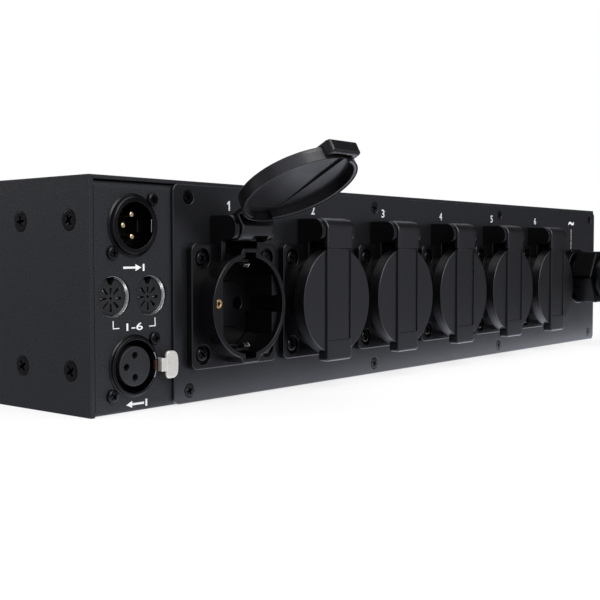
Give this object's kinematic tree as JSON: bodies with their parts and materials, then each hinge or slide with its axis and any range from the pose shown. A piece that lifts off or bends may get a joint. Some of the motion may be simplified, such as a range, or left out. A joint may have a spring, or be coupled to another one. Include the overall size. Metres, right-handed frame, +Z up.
{
  "type": "dimmer pack",
  "caption": "Rack-mounted dimmer pack: a black steel case with flap-lid mains outlets and control connectors on the rear, and breakers and a menu on the front.",
  "frame": {"origin": "middle of the case's underside: halfway between the two side panels and between the front and rear walls", "axes": "+Z up; -Y out of the front rack panel, +Y out of the rear wall with the outlets; +X to the right seen from the front"},
  "size_m": [0.4826, 0.4021, 0.1011],
  "materials": {
    "powder_coat": "fine matt powder coat",
    "black_plastic": "satin moulded",
    "lid_plastic": "satin moulded",
    "bright_metal": "bright plated",
    "latch_metal": "satin nickel",
    "alloy": "mill finish",
    "circuit_board": "solder mask",
    "pale_plastic": "satin moulded",
    "button_plastic": "satin moulded",
    "toggle_plastic": "satin moulded",
    "display_window": "smoked red, glossy"
  },
  "bodies": {
    "chassis": {"base_tray": "powder_coat", "top_cover": "powder_coat", "side_panel_left": "powder_coat", "side_panel_right": "powder_coat", "front_panel": "powder_coat", "outlet_plate": "powder_coat", "outlet_housing_1": "black_plastic", "outlet_housing_2": "black_plastic", "outlet_housing_3": "black_plastic", "outlet_housing_4": "black_plastic", "outlet_housing_5": "black_plastic", "outlet_housing_6": "black_plastic", "outlet_contact_block_1": "black_plastic", "outlet_contact_block_2": "black_plastic", "outlet_contact_block_3": "black_plastic", "outlet_contact_block_4": "black_plastic", "outlet_contact_block_5": "black_plastic", "outlet_contact_block_6": "black_plastic", "input_connector_shell": "black_plastic", "input_connector_insert": "black_plastic", "output_connector_shell": "black_plastic", "output_connector_insert": "black_plastic", "control_socket_insert_a": "black_plastic", "control_socket_insert_b": "black_plastic", "gland_body": "black_plastic", "gland_nut": "black_plastic", "gland_lock_nut": "black_plastic", "control_socket_shell_a": "bright_metal", "control_socket_shell_b": "bright_metal", "heat_sink": "alloy", "breaker_rail": "alloy", "input_board": "circuit_board", "control_board": "circuit_board", "power_board": "circuit_board", "terminal_block": "pale_plastic", "breaker_body_1": "pale_plastic", "breaker_body_2": "pale_plastic", "breaker_body_3": "pale_plastic", "breaker_body_4": "pale_plastic", "breaker_body_5": "pale_plastic", "breaker_body_6": "pale_plastic", "display_window": "display_window"},
    "lid_1": {"outlet_lid_1": "lid_plastic"},
    "lid_2": {"outlet_lid_2": "lid_plastic"},
    "lid_3": {"outlet_lid_3": "lid_plastic"},
    "lid_4": {"outlet_lid_4": "lid_plastic"},
    "lid_5": {"outlet_lid_5": "lid_plastic"},
    "lid_6": {"outlet_lid_6": "lid_plastic"},
    "latch": {"output_connector_latch": "latch_metal"},
    "button_1": {"menu_button_1": "button_plastic"},
    "button_2": {"menu_button_2": "button_plastic"},
    "button_3": {"menu_button_3": "button_plastic"},
    "button_4": {"menu_button_4": "button_plastic"},
    "toggle_1": {"breaker_toggle_1": "toggle_plastic"},
    "toggle_2": {"breaker_toggle_2": "toggle_plastic"},
    "toggle_3": {"breaker_toggle_3": "toggle_plastic"},
    "toggle_4": {"breaker_toggle_4": "toggle_plastic"},
    "toggle_5": {"breaker_toggle_5": "toggle_plastic"},
    "toggle_6": {"breaker_toggle_6": "toggle_plastic"}
  },
  "joints": [
    {"name": "lid_hinge_1", "type": "hinge", "parent": "chassis", "child": "lid_1", "pos_m": [0.1462, 0.1758, 0.0698], "axis": [1, 0, 0], "range_deg": [-118, 0]},
    {"name": "lid_hinge_2", "type": "hinge", "parent": "chassis", "child": "lid_2", "pos_m": [0.0912, 0.1758, 0.0698], "axis": [1, 0, 0], "range_deg": [0, 118]},
    {"name": "lid_hinge_3", "type": "hinge", "parent": "chassis", "child": "lid_3", "pos_m": [0.0362, 0.1758, 0.0698], "axis": [1, 0, 0], "range_deg": [0, 118]},
    {"name": "lid_hinge_4", "type": "hinge", "parent": "chassis", "child": "lid_4", "pos_m": [-0.0188, 0.1758, 0.0698], "axis": [1, 0, 0], "range_deg": [0, 118]},
    {"name": "lid_hinge_5", "type": "hinge", "parent": "chassis", "child": "lid_5", "pos_m": [-0.0738, 0.1758, 0.0698], "axis": [1, 0, 0], "range_deg": [0, 118]},
    {"name": "lid_hinge_6", "type": "hinge", "parent": "chassis", "child": "lid_6", "pos_m": [-0.1288, 0.1758, 0.0698], "axis": [1, 0, 0], "range_deg": [0, 118]},
    {"name": "latch_press", "type": "slide", "parent": "chassis", "child": "latch", "axis": [0, -1, 0], "range_m": [0, 0.0015], "stiffness_N_per_m": 400, "springref_m": -0.001},
    {"name": "button_press_1", "type": "slide", "parent": "chassis", "child": "button_1", "axis": [0, 1, 0], "range_m": [0, 0.0012], "stiffness_N_per_m": 250, "springref_m": -0.001},
    {"name": "button_press_2", "type": "slide", "parent": "chassis", "child": "button_2", "axis": [0, 1, 0], "range_m": [0, 0.0012], "stiffness_N_per_m": 250, "springref_m": -0.001},
    {"name": "button_press_3", "type": "slide", "parent": "chassis", "child": "button_3", "axis": [0, 1, 0], "range_m": [0, 0.0012], "stiffness_N_per_m": 250, "springref_m": -0.001},
    {"name": "button_press_4", "type": "slide", "parent": "chassis", "child": "button_4", "axis": [0, 1, 0], "range_m": [0, 0.0012], "stiffness_N_per_m": 250, "springref_m": -0.001},
    {"name": "toggle_hinge_1", "type": "hinge", "parent": "chassis", "child": "toggle_1", "pos_m": [-0.15, -0.1636, 0.044], "axis": [1, 0, 0], "range_deg": [0, 60]},
    {"name": "toggle_hinge_2", "type": "hinge", "parent": "chassis", "child": "toggle_2", "pos_m": [-0.132, -0.1636, 0.044], "axis": [1, 0, 0], "range_deg": [0, 60]},
    {"name": "toggle_hinge_3", "type": "hinge", "parent": "chassis", "child": "toggle_3", "pos_m": [-0.114, -0.1636, 0.044], "axis": [1, 0, 0], "range_deg": [0, 60]},
    {"name": "toggle_hinge_4", "type": "hinge", "parent": "chassis", "child": "toggle_4", "pos_m": [-0.096, -0.1636, 0.044], "axis": [1, 0, 0], "range_deg": [0, 60]},
    {"name": "toggle_hinge_5", "type": "hinge", "parent": "chassis", "child": "toggle_5", "pos_m": [-0.078, -0.1636, 0.044], "axis": [1, 0, 0], "range_deg": [0, 60]},
    {"name": "toggle_hinge_6", "type": "hinge", "parent": "chassis", "child": "toggle_6", "pos_m": [-0.06, -0.1636, 0.044], "axis": [1, 0, 0], "range_deg": [0, 60]}
  ]
}
